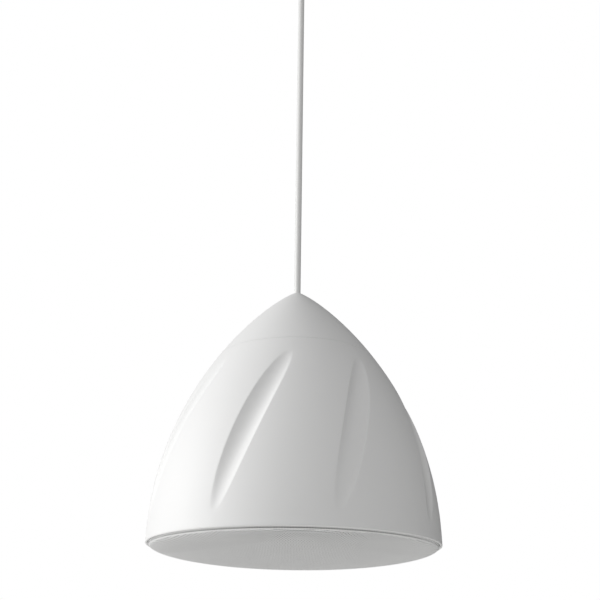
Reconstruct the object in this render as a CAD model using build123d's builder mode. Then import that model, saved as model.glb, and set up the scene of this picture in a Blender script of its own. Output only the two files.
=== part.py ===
"""A bell-shaped pendant loudspeaker on its cable, with its ceiling fitting.

The bell is a moulded shell with eight slanting scoops, a lift-up crown and a domed grille.
Behind the grille a baffle carries a coaxial driver, its port and the tap switch.
The origin is where the fitting meets the ceiling, on the cable's line, and +Z is up.
Every height below is measured upwards from the bell's rim, in millimetres.
"""
from build123d import *
from math import cos, pi, radians, sin, sqrt
import os

os.makedirs("parts", exist_ok=True)

# The bell's outside form
rim_radius = 158.0
crown_height = 291.1
form_fullness = 2.144
form_taper = 0.837
form_pinch = 0.041
shell_wall = 3.0
seam_height = 208.0
seam_gap = 0.2

# The mouth: lip, ledge and the bosses for the baffle's screws
mouth_lip = 2.5
lip_bevel = 0.6
mouth_depth = 15.0
ledge_width = 9.0
ledge_thickness = 4.0
boss_count = 4
boss_radius = 5.0
boss_height = 42.0
boss_turn = 83.5
boss_inset = 9.5

# The eight scoops: where each one starts and ends, how it leans and how deep it goes
scoop_count = 8
scoop_bottom = 12.7
scoop_middle = 96.0
scoop_top = 191.5
scoop_bottom_turn = -29.9
scoop_middle_turn = -20.9
scoop_top_turn = -2.9
scoop_section_radius = 20.4
scoop_depth = 5.3
scoop_run_out = 0.6

# The deck inside the bell's top, and the crown that covers it
deck_thickness = 3.0
deck_drop = 14.0
crown_wall = 2.5
spigot_thickness = 2.5
spigot_play = 0.5
bore_round = 1.2

# The cable, and how far it shows between the crown and the ceiling's grip
cable_diameter = 7.5
cable_play = 0.45
grip_play = 0.05
cable_free_length = 427.0

# Screws
screw_radius = 2.0
screw_head_radius = 3.8
screw_head_height = 2.4
screw_play = 0.25
thread_play = 0.05

# The hanger yoke on the deck, its gland and the terminals beside it
yoke_width = 24.0
yoke_span = 44.0
yoke_foot = 16.0
yoke_share = 0.455
yoke_sheet = 2.5
gland_radius = 7.5
gland_body_radius = 10.5
gland_body_height = 17.0
gland_thread_share = 0.32
cable_tail_share = 0.27
gland_nut_radius = 12.0
gland_nut_height = 5.0
terminal_length = 30.0
terminal_width = 14.0
terminal_height = 16.0
terminal_ways = 4
terminal_screw_radius = 1.8
terminal_offset = 26.0
lead_radius = 1.4
lead_play = 0.6
grommet_radius = 7.0
grommet_bore = 3.2
grommet_offset = 54.0

# The baffle and what it carries
baffle_face = 7.5
baffle_thickness = 6.0
baffle_play = 0.5
gasket_play = 0.05
baffle_rib_height = 5.0
magnet_count = 8
grille_magnet_radius = 4.0
grille_magnet_height = 3.0
port_share = 0.276
port_wall = 2.5
port_length = 62.0
port_turn = 205.0
port_flare = 4.0

# The grille
grille_gap = 0.6
grille_sheet = 1.0
grille_drop = 18.0
grille_flange = 10.0
grille_hole_radius = 3.2
grille_rings = 4
grille_ring_pitch = 30.0
grille_holes_per_ring = 8

# The coaxial driver
flange_radius = 82.5
cutout_play = 2.0
driver_gasket = 1.0
basket_sheet = 1.8
flange_width = 12.0
basket_shelf_radius = 50.0
basket_shelf = 5.0
basket_shelf_depth = 26.8
basket_floor_radius = 42.0
basket_depth = 39.3
basket_hole_radius = 19.0
window_count = 6
window_width = 34.0
window_margin = 5.0
driver_screw_count = 4
driver_screw_inset = 3.0
roll_play = 0.5
cone_land = 5.0
cone_sheet = 0.8
cone_rise = 22.0
cone_bow = 0.43
surround_roll_radius = 5.0
surround_sheet = 0.8
surround_land = 6.0
coil_inner_radius = 12.4
former_sheet = 0.3
former_length = 25.5
coil_thickness = 0.8
coil_length = 6.5
gap_play = 0.35
spider_sheet = 0.6
spider_play = 0.3
spider_wave = 1.2
spider_waves = 2
top_plate_radius = 36.0
top_plate_thickness = 5.0
magnet_radius = 40.0
magnet_hole_radius = 18.0
magnet_height = 15.0
back_plate_radius = 38.0
back_plate_thickness = 5.0

# The tweeter on its post in front of the cone
post_radius = 4.0
tweeter_radius = 17.0
tweeter_height = 12.0
tweeter_wall = 2.0
tweeter_front = -3.0
tweeter_magnet_radius = 12.0
tweeter_magnet_height = 6.0
tweeter_dome_radius = 10.0
tweeter_dome_rise = 3.5
tweeter_dome_sheet = 0.5
tweeter_guide_height = 3.0

# The tap switch and its knob
switch_turn = 25.0
switch_radius = 13.0
switch_height = 18.0
bush_radius = 5.0
shaft_radius = 3.0
shaft_play = 0.05
switch_nut_radius = 8.0
switch_nut_height = 2.5
knob_radius = 10.5
knob_height = 9.0
knob_gap = 0.6
knob_flutes = 12
pointer_width = 2.0
pointer_depth = 1.0

# The line transformer and the crossover board, on the baffle's back
transformer_turn = 115.0
core_length = 46.0
core_width = 24.0
core_height = 38.0
winding_length = 26.0
winding_depth = 38.0
winding_height = 22.0
strap_thickness = 1.5
strap_foot = 10.0
board_turn = 295.0
board_length = 62.0
board_share = 0.67
board_thickness = 1.6
standoff_height = 7.0
standoff_radius = 3.0
standoff_inset = 4.0
inductor_share = 0.3
inductor_height = 13.0
capacitor_share = 0.15
capacitor_length = 24.0
resistor_length = 22.0
resistor_share = 0.15

# The damping pad inside the bell
pad_bottom = 74.0
pad_top = 148.0
pad_thickness = 12.0
pad_play = 1.1

# The ceiling fitting
canopy_radius = 50.0
canopy_depth = 32.0
canopy_wall = 2.0
canopy_corner = 8.0
grip_radius = 9.0
grip_height = 21.0
grip_thread_radius = 6.0
grip_thread_length = 12.0
grip_nut_radius = 10.0
grip_nut_height = 4.0
bracket_width = 22.0
bracket_sheet = 2.0
bracket_tab = 16.0
bracket_side_play = 0.4
slot_spacing = 54.0
slot_length = 11.0
slot_radius = 2.4
side_screw_drop = 10.0


def bell_radius(height, inset=0.0):
    """The bell's radius at a height, or that of the form lying inset inside it."""
    share = height / (crown_height - inset)
    full = (1 - share**form_fullness) ** form_taper
    return (rim_radius - inset) * full * (1 - form_pinch * share)


def bell_height(radius, inset=0.0):
    """The height at which the bell, or the form inside it, has this radius."""
    low, high = 0.0, crown_height - inset
    for _ in range(50):
        middle = (low + high) / 2
        if bell_radius(middle, inset) > radius:
            low = middle
        else:
            high = middle
    return low


def bell_side(low, high):
    """Draws a stretch of the bell's side as two arcs and gives back its ends."""
    points = [(bell_radius(height), height) for height in (low + (high - low) * i / 4 for i in range(5))]
    ThreePointArc(points[0], points[1], points[2])
    ThreePointArc(points[2], points[3], points[4])
    return points[0], points[4]


def hidden_side(low, high, inset, steps):
    """Points up the inside of the bell, where straight stretches are close enough."""
    heights = [low + (high - low) * i / steps for i in range(steps + 1)]
    return [(bell_radius(height, inset), height) for height in heights]


def dome_side(radius, drop):
    """Draws half of a flattened dome as tangent arcs from its middle out to its edge."""
    last, heading = (0, -drop), (1, 0)
    for turn in (60, 90):
        end = (radius * sin(radians(turn)), -drop * cos(radians(turn)))
        arc = TangentArc(last, end, tangent=heading)
        last, heading = end, arc % 1


def around(radius, turn, height):
    """A point of the bell, where turn 0 faces the viewer and positive turns go right."""
    return (radius * sin(radians(turn)), -radius * cos(radians(turn)), rim_z + height)


def level(height):
    """The horizontal plane at a height above the rim."""
    return Plane.XY.offset(rim_z + height)


def spot(radius, turn, height):
    """A horizontal plane on the baffle's own polar grid, with its X pointing outwards."""
    place = (radius * cos(radians(turn)), radius * sin(radians(turn)), rim_z + height)
    return Plane(origin=place, x_dir=(cos(radians(turn)), sin(radians(turn)), 0), z_dir=(0, 0, 1))


def save(piece, name):
    """Labels a finished piece and writes it."""
    piece.part.label = name
    export_step(piece.part, f"parts/{name}.step")


cable_radius = cable_diameter / 2
cable_bore = cable_radius + cable_play
grip_bore = cable_radius + grip_play
tip_height = bell_height(cable_bore + bore_round)
grip_foot = tip_height + cable_free_length
canopy_foot = grip_foot + grip_height
ceiling_height = canopy_foot + canopy_depth
rim_z = -ceiling_height
section = Plane(origin=(0, 0, rim_z), x_dir=(1, 0, 0), z_dir=(0, -1, 0))

mouth_radius = rim_radius - mouth_lip
ledge_radius = mouth_radius - ledge_width
ledge_top = mouth_depth + ledge_thickness
deck_top = seam_height - deck_drop
deck_bottom = deck_top - deck_thickness
screw_circle = mouth_radius - boss_inset
screw_bore = screw_radius + screw_play
pilot_bore = screw_radius + thread_play
basket_throat = flange_radius - flange_width
driver_screw_circle = flange_radius - driver_screw_inset
cone_edge_radius = basket_throat - 2 * surround_roll_radius - roll_play

# Scoop cutters: a round tool on a shallow arc that dips into the bell and runs out at both ends


def scoop_point(height, turn, depth):
    """The tool's centre over one point of the bell, depth being how far it cuts there."""
    step = 0.5
    slope = (bell_radius(height - step) - bell_radius(height + step)) / (2 * step)
    out = (scoop_section_radius - depth) / sqrt(1 + slope**2)
    return around(bell_radius(height) + out, turn, height + out * slope)


scoop_ends = [
    scoop_point(scoop_bottom, scoop_bottom_turn, -scoop_run_out),
    scoop_point(scoop_middle, scoop_middle_turn, scoop_depth),
    scoop_point(scoop_top, scoop_top_turn, -scoop_run_out),
]

with BuildPart() as scoop_tool:
    with BuildLine() as scoop_path:
        ThreePointArc(*scoop_ends)
    with BuildSketch(Plane(origin=scoop_path.line @ 0, z_dir=scoop_path.line % 0)):
        Circle(scoop_section_radius)
    sweep()

with BuildPart() as scoop_back:
    with BuildLine() as scoop_back_path:
        ThreePointArc(*scoop_ends)
    with BuildSketch(Plane(origin=scoop_back_path.line @ 0, z_dir=scoop_back_path.line % 0)):
        Circle(scoop_section_radius + shell_wall)
    sweep()

# Space inside the bell, which keeps the wall's thickness behind each scoop
with BuildPart() as bell_space:
    with BuildSketch(section):
        with BuildLine():
            Polyline(
                *hidden_side(ledge_top, deck_bottom, shell_wall, 5),
                (0, deck_bottom),
                (0, ledge_top),
                close=True,
            )
        make_face()
    revolve(axis=Axis.Z)
    with PolarLocations(0, scoop_count):
        add(scoop_back.part, mode=Mode.SUBTRACT)

# Body shell: outer form, scoops, mouth, ledge, bosses, deck and the collar round the deck
collar_low = bell_radius(deck_top, shell_wall)
collar_high = bell_radius(seam_height, shell_wall)
with BuildPart() as body_shell:
    with BuildSketch(section):
        with BuildLine():
            side_foot, side_head = bell_side(lip_bevel, seam_height)
            Polyline(
                side_head,
                (collar_high, seam_height),
                (collar_low, deck_top),
                (0, deck_top),
                (0, mouth_depth),
                (mouth_radius, mouth_depth),
                (mouth_radius, lip_bevel),
                (mouth_radius + lip_bevel, 0),
                (rim_radius - lip_bevel, 0),
                side_foot,
            )
        make_face()
    revolve(axis=Axis.Z)
    with PolarLocations(0, scoop_count):
        add(scoop_tool.part, mode=Mode.SUBTRACT)
    add(bell_space.part, mode=Mode.SUBTRACT)
    with BuildSketch(level(mouth_depth)):
        Circle(ledge_radius)
    extrude(amount=ledge_thickness, mode=Mode.SUBTRACT)
    with BuildSketch(level(mouth_depth)):
        with PolarLocations(screw_circle, boss_count, start_angle=boss_turn):
            Circle(boss_radius)
    extrude(amount=boss_height)
    with BuildSketch(level(mouth_depth)):
        with PolarLocations(screw_circle, boss_count, start_angle=boss_turn):
            Circle(pilot_bore)
    extrude(amount=boss_height - shell_wall, mode=Mode.SUBTRACT)
    with BuildSketch(level(deck_bottom)):
        with Locations((yoke_span / 2 + yoke_foot / 2, 0), (-yoke_span / 2 - yoke_foot / 2, 0)):
            Circle(pilot_bore)
        with Locations((0, grommet_offset)):
            Circle(grommet_radius)
    extrude(amount=deck_thickness, mode=Mode.SUBTRACT)
save(body_shell, "body_shell")

# Top cap: the crown, standing on the deck on its spigot, with the cable's bore
cap_foot = seam_height + seam_gap
spigot_radius = collar_high - spigot_play
shoulder_height = cap_foot + crown_wall
cap_inner_tip = bell_height(cable_bore, crown_wall)
with BuildPart() as top_cap:
    with BuildSketch(section):
        with BuildLine():
            crown_foot, crown_head = bell_side(cap_foot, tip_height)
            Polyline(
                crown_head,
                (cable_bore, tip_height),
                *hidden_side(shoulder_height, cap_inner_tip, crown_wall, 4)[::-1],
                (spigot_radius - spigot_thickness, shoulder_height),
                (spigot_radius - spigot_thickness, deck_top),
                (spigot_radius, deck_top),
                (spigot_radius, cap_foot),
                crown_foot,
            )
        make_face()
    revolve(axis=Axis.Z)
save(top_cap, "top_cap")

# Hanger yoke: one folded strip, its feet on the deck and its bar across the top
crown_room = bell_height(gland_body_radius, crown_wall) - deck_top
yoke_rise = crown_room * yoke_share
yoke_top = deck_top + yoke_rise
gland_thread_length = yoke_rise * gland_thread_share
half_span = yoke_span / 2
with BuildPart() as hanger_yoke:
    with BuildSketch(section):
        with BuildLine():
            Polyline(
                (-half_span - yoke_foot, deck_top),
                (-half_span, deck_top),
                (-half_span, yoke_top),
                (half_span, yoke_top),
                (half_span, deck_top),
                (half_span + yoke_foot, deck_top),
            )
            offset(amount=yoke_sheet, side=Side.LEFT, kind=Kind.INTERSECTION)
        make_face()
    extrude(amount=yoke_width / 2, both=True)
    fillet(hanger_yoke.edges().filter_by(Axis.Z).group_by(Axis.X)[0], radius=yoke_foot / 3)
    fillet(hanger_yoke.edges().filter_by(Axis.Z).group_by(Axis.X)[-1], radius=yoke_foot / 3)
    with BuildSketch(level(deck_top)):
        with Locations((half_span + yoke_foot / 2, 0), (-half_span - yoke_foot / 2, 0)):
            Circle(screw_bore)
    extrude(amount=yoke_sheet, mode=Mode.SUBTRACT)
    with BuildSketch(level(yoke_top)):
        Circle(gland_radius + thread_play)
    extrude(amount=yoke_sheet, mode=Mode.SUBTRACT)
save(hanger_yoke, "hanger_yoke")

with BuildPart() as hanger_screws:
    with BuildSketch(level(deck_top + yoke_sheet)):
        with Locations((half_span + yoke_foot / 2, 0), (-half_span - yoke_foot / 2, 0)):
            Circle(screw_head_radius)
    extrude(amount=screw_head_height)
    with BuildSketch(level(deck_bottom - deck_thickness)):
        with Locations((half_span + yoke_foot / 2, 0), (-half_span - yoke_foot / 2, 0)):
            Circle(screw_radius)
    extrude(amount=2 * deck_thickness + yoke_sheet)
save(hanger_screws, "hanger_screws")

# Cable gland: its body over the yoke's bar, its thread through it and its nut below
gland_seat = yoke_top + yoke_sheet
with BuildPart() as cable_gland:
    with BuildSketch(level(gland_seat)):
        RegularPolygon(gland_body_radius, 6)
    extrude(amount=gland_body_height / 3)
    with BuildSketch(level(gland_seat + gland_body_height / 3)):
        Circle(gland_body_radius * cos(pi / 6))
    extrude(amount=gland_body_height * 2 / 3)
    chamfer(cable_gland.edges().group_by(Axis.Z)[-1], length=3)
    with BuildSketch(level(gland_seat - gland_thread_length)):
        Circle(gland_radius)
    extrude(amount=gland_thread_length)
    with BuildSketch(level(gland_seat - gland_thread_length)):
        Circle(grip_bore)
    extrude(amount=gland_thread_length + gland_body_height, mode=Mode.SUBTRACT)
save(cable_gland, "cable_gland")

with BuildPart() as gland_nut:
    with BuildSketch(level(yoke_top - gland_nut_height)):
        RegularPolygon(gland_nut_radius, 6)
        Circle(gland_radius + thread_play, mode=Mode.SUBTRACT)
    extrude(amount=gland_nut_height)
save(gland_nut, "gland_nut")

# Terminals on the deck: a block with its wire mouths, and its clamp screws
terminal_pitch = terminal_length / terminal_ways
terminal_spots = [terminal_pitch * (i - (terminal_ways - 1) / 2) for i in range(terminal_ways)]
terminal_top = deck_top + terminal_height
mouth_height = terminal_height * 0.35
with BuildPart() as terminal_block:
    with BuildSketch(level(deck_top)):
        with Locations((0, -terminal_offset)):
            Rectangle(terminal_length, terminal_width)
    extrude(amount=terminal_height)
    fillet(terminal_block.edges().filter_by(Axis.Z), radius=1)
    with BuildSketch(level(terminal_top)):
        with Locations(*[(x, -terminal_offset) for x in terminal_spots]):
            Circle(terminal_screw_radius + screw_play)
    extrude(amount=-terminal_height / 2, mode=Mode.SUBTRACT)
    with BuildSketch(Plane(origin=(0, terminal_width / 2 - terminal_offset, rim_z + deck_top),
                           x_dir=(-1, 0, 0), z_dir=(0, 1, 0))):
        with Locations(*[(x, mouth_height) for x in terminal_spots]):
            Circle(lead_radius + lead_play)
    extrude(amount=-terminal_width / 2, mode=Mode.SUBTRACT)
save(terminal_block, "terminal_block")

with BuildPart() as terminal_screws:
    with BuildSketch(level(deck_top + terminal_height / 2)):
        with Locations(*[(x, -terminal_offset) for x in terminal_spots]):
            Circle(terminal_screw_radius)
    extrude(amount=terminal_height / 2 - terminal_screw_radius)
save(terminal_screws, "terminal_screws")

# Pendant cable: one straight run from inside the gland to inside the ceiling's grip
cable_foot = gland_seat - gland_thread_length - yoke_rise * cable_tail_share
cable_head = canopy_foot + grip_thread_length + cable_radius
with BuildPart() as pendant_cable:
    with BuildLine() as cable_path:
        Line((0, 0, rim_z + cable_foot), (0, 0, rim_z + cable_head))
    with BuildSketch(level(cable_foot)):
        Circle(cable_radius)
    sweep()
save(pendant_cable, "pendant_cable")
print("cable: straight, no bends, length", round(cable_head - cable_foot, 1))
cable_ratio = pendant_cable.part.volume / (pi * cable_radius**2 * (cable_head - cable_foot))
print("cable volume over section times length", round(cable_ratio, 4))

# Two leads from the cable's foot into the block's middle terminals
lead_height = deck_top + mouth_height
lead_end_y = terminal_width / 6 - terminal_offset
lead_bend = (cable_foot - lead_height) * 0.6
with BuildPart() as lead_pair:
    for side in (-1, 1):
        with BuildLine() as lead_path:
            FilletPolyline(
                (side * lead_radius * 1.15, 0, rim_z + cable_foot),
                (side * lead_radius * 1.15, 0, rim_z + lead_height),
                (side * terminal_pitch / 2, lead_end_y, rim_z + lead_height),
                radius=lead_bend,
            )
        with BuildSketch(Plane(origin=lead_path.line @ 0, z_dir=lead_path.line % 0)):
            Circle(lead_radius)
        sweep(path=lead_path.line)
save(lead_pair, "lead_pair")

# Rubber grommet where the inner wires pass the deck
with BuildPart() as deck_grommet:
    with BuildSketch(level(deck_bottom)):
        with Locations((0, grommet_offset)):
            Circle(grommet_radius)
            Circle(grommet_bore, mode=Mode.SUBTRACT)
    extrude(amount=deck_thickness)
    with BuildSketch(level(deck_top)):
        with Locations((0, grommet_offset)):
            Circle(grommet_radius + 2)
            Circle(grommet_bore, mode=Mode.SUBTRACT)
    extrude(amount=2)
save(deck_grommet, "deck_grommet")

# Baffle: round panel with a stiffening rim, the driver's cut-out, port, switch and screws
baffle_radius = mouth_radius - baffle_play
baffle_back = baffle_face + baffle_thickness
cutout_radius = basket_throat + cutout_play
side_room = screw_circle - screw_head_radius - flange_radius
side_circle = flange_radius + side_room / 2
port_radius = side_room * port_share
magnet_circle = mouth_radius - grille_gap - grille_flange / 2
with BuildPart() as baffle:
    with BuildSketch(level(baffle_face)):
        Circle(baffle_radius)
        Circle(cutout_radius, mode=Mode.SUBTRACT)
        with PolarLocations(screw_circle, boss_count, start_angle=boss_turn):
            Circle(screw_bore, mode=Mode.SUBTRACT)
        with PolarLocations(driver_screw_circle, driver_screw_count, start_angle=45):
            Circle(pilot_bore, mode=Mode.SUBTRACT)
        with PolarLocations(side_circle, 1, start_angle=port_turn):
            Circle(port_radius + port_wall + baffle_play, mode=Mode.SUBTRACT)
        with PolarLocations(side_circle, 1, start_angle=switch_turn):
            Circle(bush_radius + screw_play, mode=Mode.SUBTRACT)
    extrude(amount=baffle_thickness)
    with BuildSketch(level(baffle_back)):
        Circle(cutout_radius + 2 * shell_wall)
        Circle(cutout_radius, mode=Mode.SUBTRACT)
    extrude(amount=baffle_rib_height)
    with BuildSketch(level(baffle_face)):
        with PolarLocations(magnet_circle, magnet_count, start_angle=boss_turn + 180 / magnet_count):
            Circle(grille_magnet_radius + thread_play)
    extrude(amount=grille_magnet_height, mode=Mode.SUBTRACT)
    for i in range(boss_count):
        turn = boss_turn + 360 / boss_count * i
        with BuildSketch(spot(screw_circle, turn, baffle_face)):
            Circle(screw_head_radius + screw_play)
        with BuildSketch(spot(screw_circle, turn, baffle_face + screw_head_height)):
            Circle(screw_bore)
        loft(mode=Mode.SUBTRACT)
save(baffle, "baffle")

with BuildPart() as baffle_gasket:
    with BuildSketch(level(baffle_back)):
        Circle(baffle_radius)
        Circle(ledge_radius, mode=Mode.SUBTRACT)
        with PolarLocations(screw_circle, boss_count, start_angle=boss_turn):
            Circle(screw_bore, mode=Mode.SUBTRACT)
    extrude(amount=mouth_depth - baffle_back - gasket_play)
save(baffle_gasket, "baffle_gasket")

with BuildPart() as baffle_screws:
    for i in range(boss_count):
        turn = boss_turn + 360 / boss_count * i
        with BuildSketch(spot(screw_circle, turn, baffle_face + screw_play)):
            Circle(screw_head_radius)
        with BuildSketch(spot(screw_circle, turn, baffle_face + screw_head_height + screw_play)):
            Circle(screw_radius)
        loft()
        with BuildSketch(spot(screw_circle, turn, baffle_face + screw_head_height + screw_play)):
            Circle(screw_radius)
        extrude(amount=mouth_depth + boss_height / 2 - baffle_face)
save(baffle_screws, "baffle_screws")

with BuildPart() as grille_magnets:
    with BuildSketch(level(baffle_face)):
        with PolarLocations(magnet_circle, magnet_count, start_angle=boss_turn + 180 / magnet_count):
            Circle(grille_magnet_radius)
    extrude(amount=grille_magnet_height)
save(grille_magnets, "grille_magnets")

# Port: a flared tube through the baffle
port_outer = port_radius + port_wall
with BuildPart() as port_tube:
    with BuildSketch(spot(side_circle, port_turn, baffle_face - port_wall)):
        Circle(port_outer + port_flare)
    extrude(amount=port_wall)
    with BuildSketch(spot(side_circle, port_turn, baffle_face)):
        Circle(port_outer)
    extrude(amount=port_length)
    with BuildSketch(spot(side_circle, port_turn, baffle_face - port_wall)):
        Circle(port_radius)
    extrude(amount=port_length + port_wall, mode=Mode.SUBTRACT)
    mouth_edge = port_tube.edges().filter_by(GeomType.CIRCLE).group_by(Axis.Z)[0]
    chamfer(mouth_edge.sort_by(SortBy.RADIUS)[0], length=port_wall * 0.8)
save(port_tube, "port_tube")

# Grille: domed sheet, perforated in rings
grille_radius = mouth_radius - grille_gap
dome_radius = grille_radius - grille_sheet
with BuildPart() as grille:
    with BuildSketch(section):
        with BuildLine():
            Line((0, -grille_drop), (0, -grille_drop + grille_sheet))
            dome_side(dome_radius, grille_drop - grille_sheet)
            Line((dome_radius, 0), (grille_radius, 0))
            dome_side(grille_radius, grille_drop)
        make_face()
    revolve(axis=Axis.Z)
    for ring in range(1, grille_rings + 1):
        holes = grille_holes_per_ring * ring
        with BuildSketch(level(-grille_drop - 1)):
            with PolarLocations(grille_ring_pitch * ring, holes, start_angle=180 / holes * (ring % 2)):
                RegularPolygon(grille_hole_radius, 6)
        extrude(amount=grille_drop, mode=Mode.SUBTRACT)
save(grille, "grille")

# Grille ring: the turned-in ring that carries the sheet and holds to the magnets
with BuildPart() as grille_ring:
    with BuildSketch(level(0)):
        Circle(grille_radius)
        Circle(dome_radius, mode=Mode.SUBTRACT)
    extrude(amount=baffle_face)
    with BuildSketch(level(baffle_face)):
        Circle(dome_radius)
        Circle(grille_radius - grille_flange, mode=Mode.SUBTRACT)
    extrude(amount=-grille_sheet)
save(grille_ring, "grille_ring")

# Driver: pressed basket with its flange on the baffle, windows, spider shelf and floor
flange_back = baffle_face - driver_gasket
flange_front = flange_back - basket_sheet
shelf_face = flange_front + basket_shelf_depth
floor_face = flange_front + basket_depth
floor_back = floor_face + basket_sheet
with BuildPart() as driver_basket:
    with BuildSketch(section):
        with BuildLine():
            Polyline(
                (flange_radius, flange_front),
                (basket_throat, flange_front),
                (basket_shelf_radius, shelf_face),
                (basket_shelf_radius - basket_shelf, shelf_face),
                (basket_floor_radius, floor_face),
                (basket_hole_radius, floor_face),
            )
            offset(amount=basket_sheet, side=Side.RIGHT, kind=Kind.INTERSECTION)
        make_face()
    revolve(axis=Axis.Z)
    for i in range(window_count):
        with BuildSketch(spot(0, 360 / window_count * i, flange_back + window_margin)):
            with Locations((basket_throat, 0)):
                Rectangle(basket_throat, window_width)
        extrude(amount=basket_shelf_depth - 2 * window_margin, mode=Mode.SUBTRACT)
    with BuildSketch(level(flange_front)):
        with PolarLocations(driver_screw_circle, driver_screw_count, start_angle=45):
            Circle(screw_bore)
    extrude(amount=basket_sheet, mode=Mode.SUBTRACT)
save(driver_basket, "driver_basket")

with BuildPart() as driver_gasket_ring:
    with BuildSketch(level(flange_back)):
        Circle(flange_radius)
        Circle(cutout_radius, mode=Mode.SUBTRACT)
        with PolarLocations(driver_screw_circle, driver_screw_count, start_angle=45):
            Circle(screw_bore, mode=Mode.SUBTRACT)
    extrude(amount=driver_gasket)
save(driver_gasket_ring, "driver_gasket")

with BuildPart() as driver_screws:
    with BuildSketch(level(flange_front - screw_head_height)):
        with PolarLocations(driver_screw_circle, driver_screw_count, start_angle=45):
            Circle(screw_head_radius * 0.75)
    extrude(amount=screw_head_height)
    with BuildSketch(level(flange_front)):
        with PolarLocations(driver_screw_circle, driver_screw_count, start_angle=45):
            Circle(screw_radius)
    extrude(amount=baffle_back - flange_front)
save(driver_screws, "driver_screws")

# Cone with its land for the surround, and the former that carries the voice coil
coil_outer = coil_inner_radius + former_sheet
cone_face = flange_front
neck_height = cone_face + cone_rise
cone_middle = (cone_edge_radius - cone_land + coil_outer) / 2
with BuildPart() as cone:
    with BuildSketch(section):
        with BuildLine():
            Polyline(
                (cone_edge_radius, cone_face),
                (cone_edge_radius - cone_land, cone_face),
                (cone_middle, cone_face + cone_rise * cone_bow),
                (coil_outer, neck_height),
                (coil_outer, neck_height + cone_sheet * 1.5),
                (cone_middle, cone_face + cone_rise * cone_bow + cone_sheet),
                (cone_edge_radius - cone_land, cone_face + cone_sheet),
                (cone_edge_radius, cone_face + cone_sheet),
                close=True,
            )
        make_face()
    revolve(axis=Axis.Z)
    with BuildSketch(level(neck_height - cone_sheet)):
        Circle(coil_outer)
        Circle(coil_inner_radius, mode=Mode.SUBTRACT)
    extrude(amount=former_length)
save(cone, "cone")

former_top = neck_height - cone_sheet + former_length
with BuildPart() as voice_coil:
    with BuildSketch(level(former_top - coil_length)):
        Circle(coil_outer + coil_thickness)
        Circle(coil_outer, mode=Mode.SUBTRACT)
    extrude(amount=coil_length)
save(voice_coil, "voice_coil")

# Surround: half roll between the cone's land and the basket's flange
roll_centre = cone_edge_radius + surround_roll_radius
roll_land = roll_centre + surround_roll_radius
roll_front = flange_front - surround_sheet
roll_turns = [radians(180 - 45 * i) for i in range(5)]
with BuildPart() as surround:
    with BuildSketch(section):
        with BuildLine():
            Polyline(
                (cone_edge_radius - cone_land, roll_front),
                *[(roll_centre + surround_roll_radius * cos(turn),
                   roll_front - surround_roll_radius * sin(turn)) for turn in roll_turns],
                (roll_land + surround_land, roll_front),
                (roll_land + surround_land, flange_front),
                *[(roll_centre + (surround_roll_radius - surround_sheet) * cos(turn),
                   flange_front - surround_roll_radius * sin(turn)) for turn in roll_turns[::-1]],
                (cone_edge_radius - cone_land, flange_front),
                close=True,
            )
        make_face()
    revolve(axis=Axis.Z)
save(surround, "surround")

# Spider: corrugated disc from the former to the basket's shelf
spider_inner = coil_outer + spider_play
spider_outer = basket_shelf_radius - 1
spider_flat = basket_shelf_radius - basket_shelf
spider_mid = shelf_face - spider_sheet
wave_steps = spider_waves * 2
wave_points = [
    (spider_inner + 2 + (spider_flat - spider_inner - 2) * i / wave_steps,
     spider_mid - spider_wave * (i % 2))
    for i in range(wave_steps + 1)
]
with BuildPart() as spider:
    with BuildSketch(section):
        with BuildLine():
            wave = Polyline(*wave_points)
            wave_back = Polyline(*[(r, z + spider_sheet) for r, z in wave_points])
            Polyline(wave @ 1, (spider_outer, spider_mid), (spider_outer, shelf_face), wave_back @ 1)
            Polyline(wave @ 0, (spider_inner, spider_mid), (spider_inner, shelf_face), wave_back @ 0)
        make_face()
    revolve(axis=Axis.Z)
save(spider, "spider")

# Magnet motor: top plate, ferrite ring, and the back plate with its pole
top_plate_back = floor_back + top_plate_thickness
magnet_back = top_plate_back + magnet_height
pole_radius = coil_inner_radius - gap_play
with BuildPart() as top_plate:
    with BuildSketch(level(floor_back)):
        Circle(top_plate_radius)
        Circle(coil_outer + coil_thickness + gap_play, mode=Mode.SUBTRACT)
    extrude(amount=top_plate_thickness)
save(top_plate, "top_plate")

with BuildPart() as ferrite_ring:
    with BuildSketch(level(top_plate_back)):
        Circle(magnet_radius)
        Circle(magnet_hole_radius, mode=Mode.SUBTRACT)
    extrude(amount=magnet_height)
    chamfer(ferrite_ring.edges().filter_by(GeomType.CIRCLE).group_by(SortBy.RADIUS)[-1], length=1)
save(ferrite_ring, "ferrite_ring")

with BuildPart() as pole_plate:
    with BuildSketch(level(magnet_back)):
        Circle(back_plate_radius)
    extrude(amount=back_plate_thickness)
    chamfer(pole_plate.edges().group_by(Axis.Z)[-1], length=1.5)
    with BuildSketch(level(floor_back)):
        Circle(pole_radius)
    extrude(amount=magnet_back - floor_back)
save(pole_plate, "pole_plate")

# Tweeter: post from the pole's face, cup, magnet, dome and guide ring
cup_back = tweeter_front + tweeter_height
with BuildPart() as tweeter_post:
    with BuildSketch(level(cup_back)):
        Circle(post_radius)
    extrude(amount=floor_back - cup_back)
save(tweeter_post, "tweeter_post")

with BuildPart() as tweeter_cup:
    with BuildSketch(level(tweeter_front)):
        Circle(tweeter_radius)
    extrude(amount=tweeter_height)
    chamfer(tweeter_cup.edges().group_by(Axis.Z)[-1], length=2)
    with BuildSketch(level(tweeter_front)):
        Circle(tweeter_radius - tweeter_wall)
    extrude(amount=tweeter_height - tweeter_wall, mode=Mode.SUBTRACT)
save(tweeter_cup, "tweeter_cup")

with BuildPart() as tweeter_magnet:
    with BuildSketch(level(cup_back - tweeter_wall - tweeter_magnet_height)):
        Circle(tweeter_magnet_radius)
    extrude(amount=tweeter_magnet_height)
save(tweeter_magnet, "tweeter_magnet")

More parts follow.
